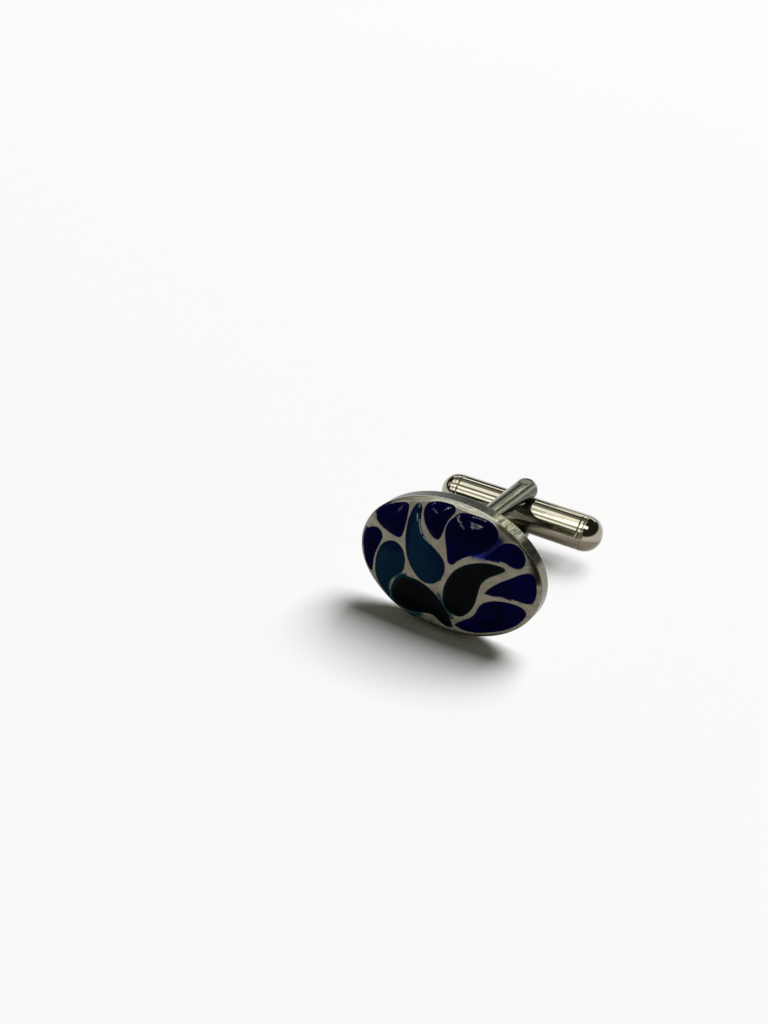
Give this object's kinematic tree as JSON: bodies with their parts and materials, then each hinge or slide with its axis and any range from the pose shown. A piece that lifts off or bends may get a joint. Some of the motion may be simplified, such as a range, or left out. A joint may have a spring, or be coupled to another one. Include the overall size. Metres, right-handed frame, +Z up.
{
  "type": "cufflink",
  "caption": "Oval crowned cufflink with enamelled petal cells on its front, and a clicking swivel toggle held on a pin between the two round arms of a fork.",
  "frame": {"origin": "on the table, under the middle of the cufflink's box, as it lies in the picture", "axes": "+X along the oval and the toggle, +Y away from the decorated front, over the table, +Z up from the table; the cufflink leans back on its rim and its lower arm"},
  "size_m": [0.02, 0.0216, 0.0142],
  "materials": {
    "face_metal": "brushed rim, satin cell lines",
    "enamel_cobalt": "glossy cobalt enamel",
    "enamel_teal": "glossy teal enamel with streaks",
    "enamel_black": "glossy black enamel",
    "fork_metal": "polished",
    "solder": "satin",
    "pin_metal": "filed flush",
    "toggle_metal": "polished",
    "spring_steel": "blued"
  },
  "bodies": {
    "face": {"face_base": "face_metal", "enamel_cobalt_upper_left": "enamel_cobalt", "enamel_cobalt_far_left": "enamel_cobalt", "enamel_cobalt_top": "enamel_cobalt", "enamel_cobalt_upper_right": "enamel_cobalt", "enamel_cobalt_shoulder": "enamel_cobalt", "enamel_cobalt_far_right": "enamel_cobalt", "enamel_cobalt_lower_right": "enamel_cobalt", "enamel_teal_left": "enamel_teal", "enamel_teal_middle": "enamel_teal", "enamel_black_right": "enamel_black", "enamel_black_left": "enamel_black", "fork": "fork_metal", "solder_seam": "solder", "pivot_pin": "pin_metal"},
    "toggle": {"toggle_tube": "toggle_metal", "toggle_cap_left": "toggle_metal", "toggle_cap_right": "toggle_metal", "leaf_spring_front": "spring_steel", "leaf_spring_back": "spring_steel"}
  },
  "joints": [
    {"name": "toggle_swivel", "type": "hinge", "parent": "face", "child": "toggle", "pos_m": [0, 0.00867, 0.00384], "axis": [0, 0.1873, 0.9823], "continuous": true, "deforming": ["leaf_spring_front", "leaf_spring_back"]}
  ]
}
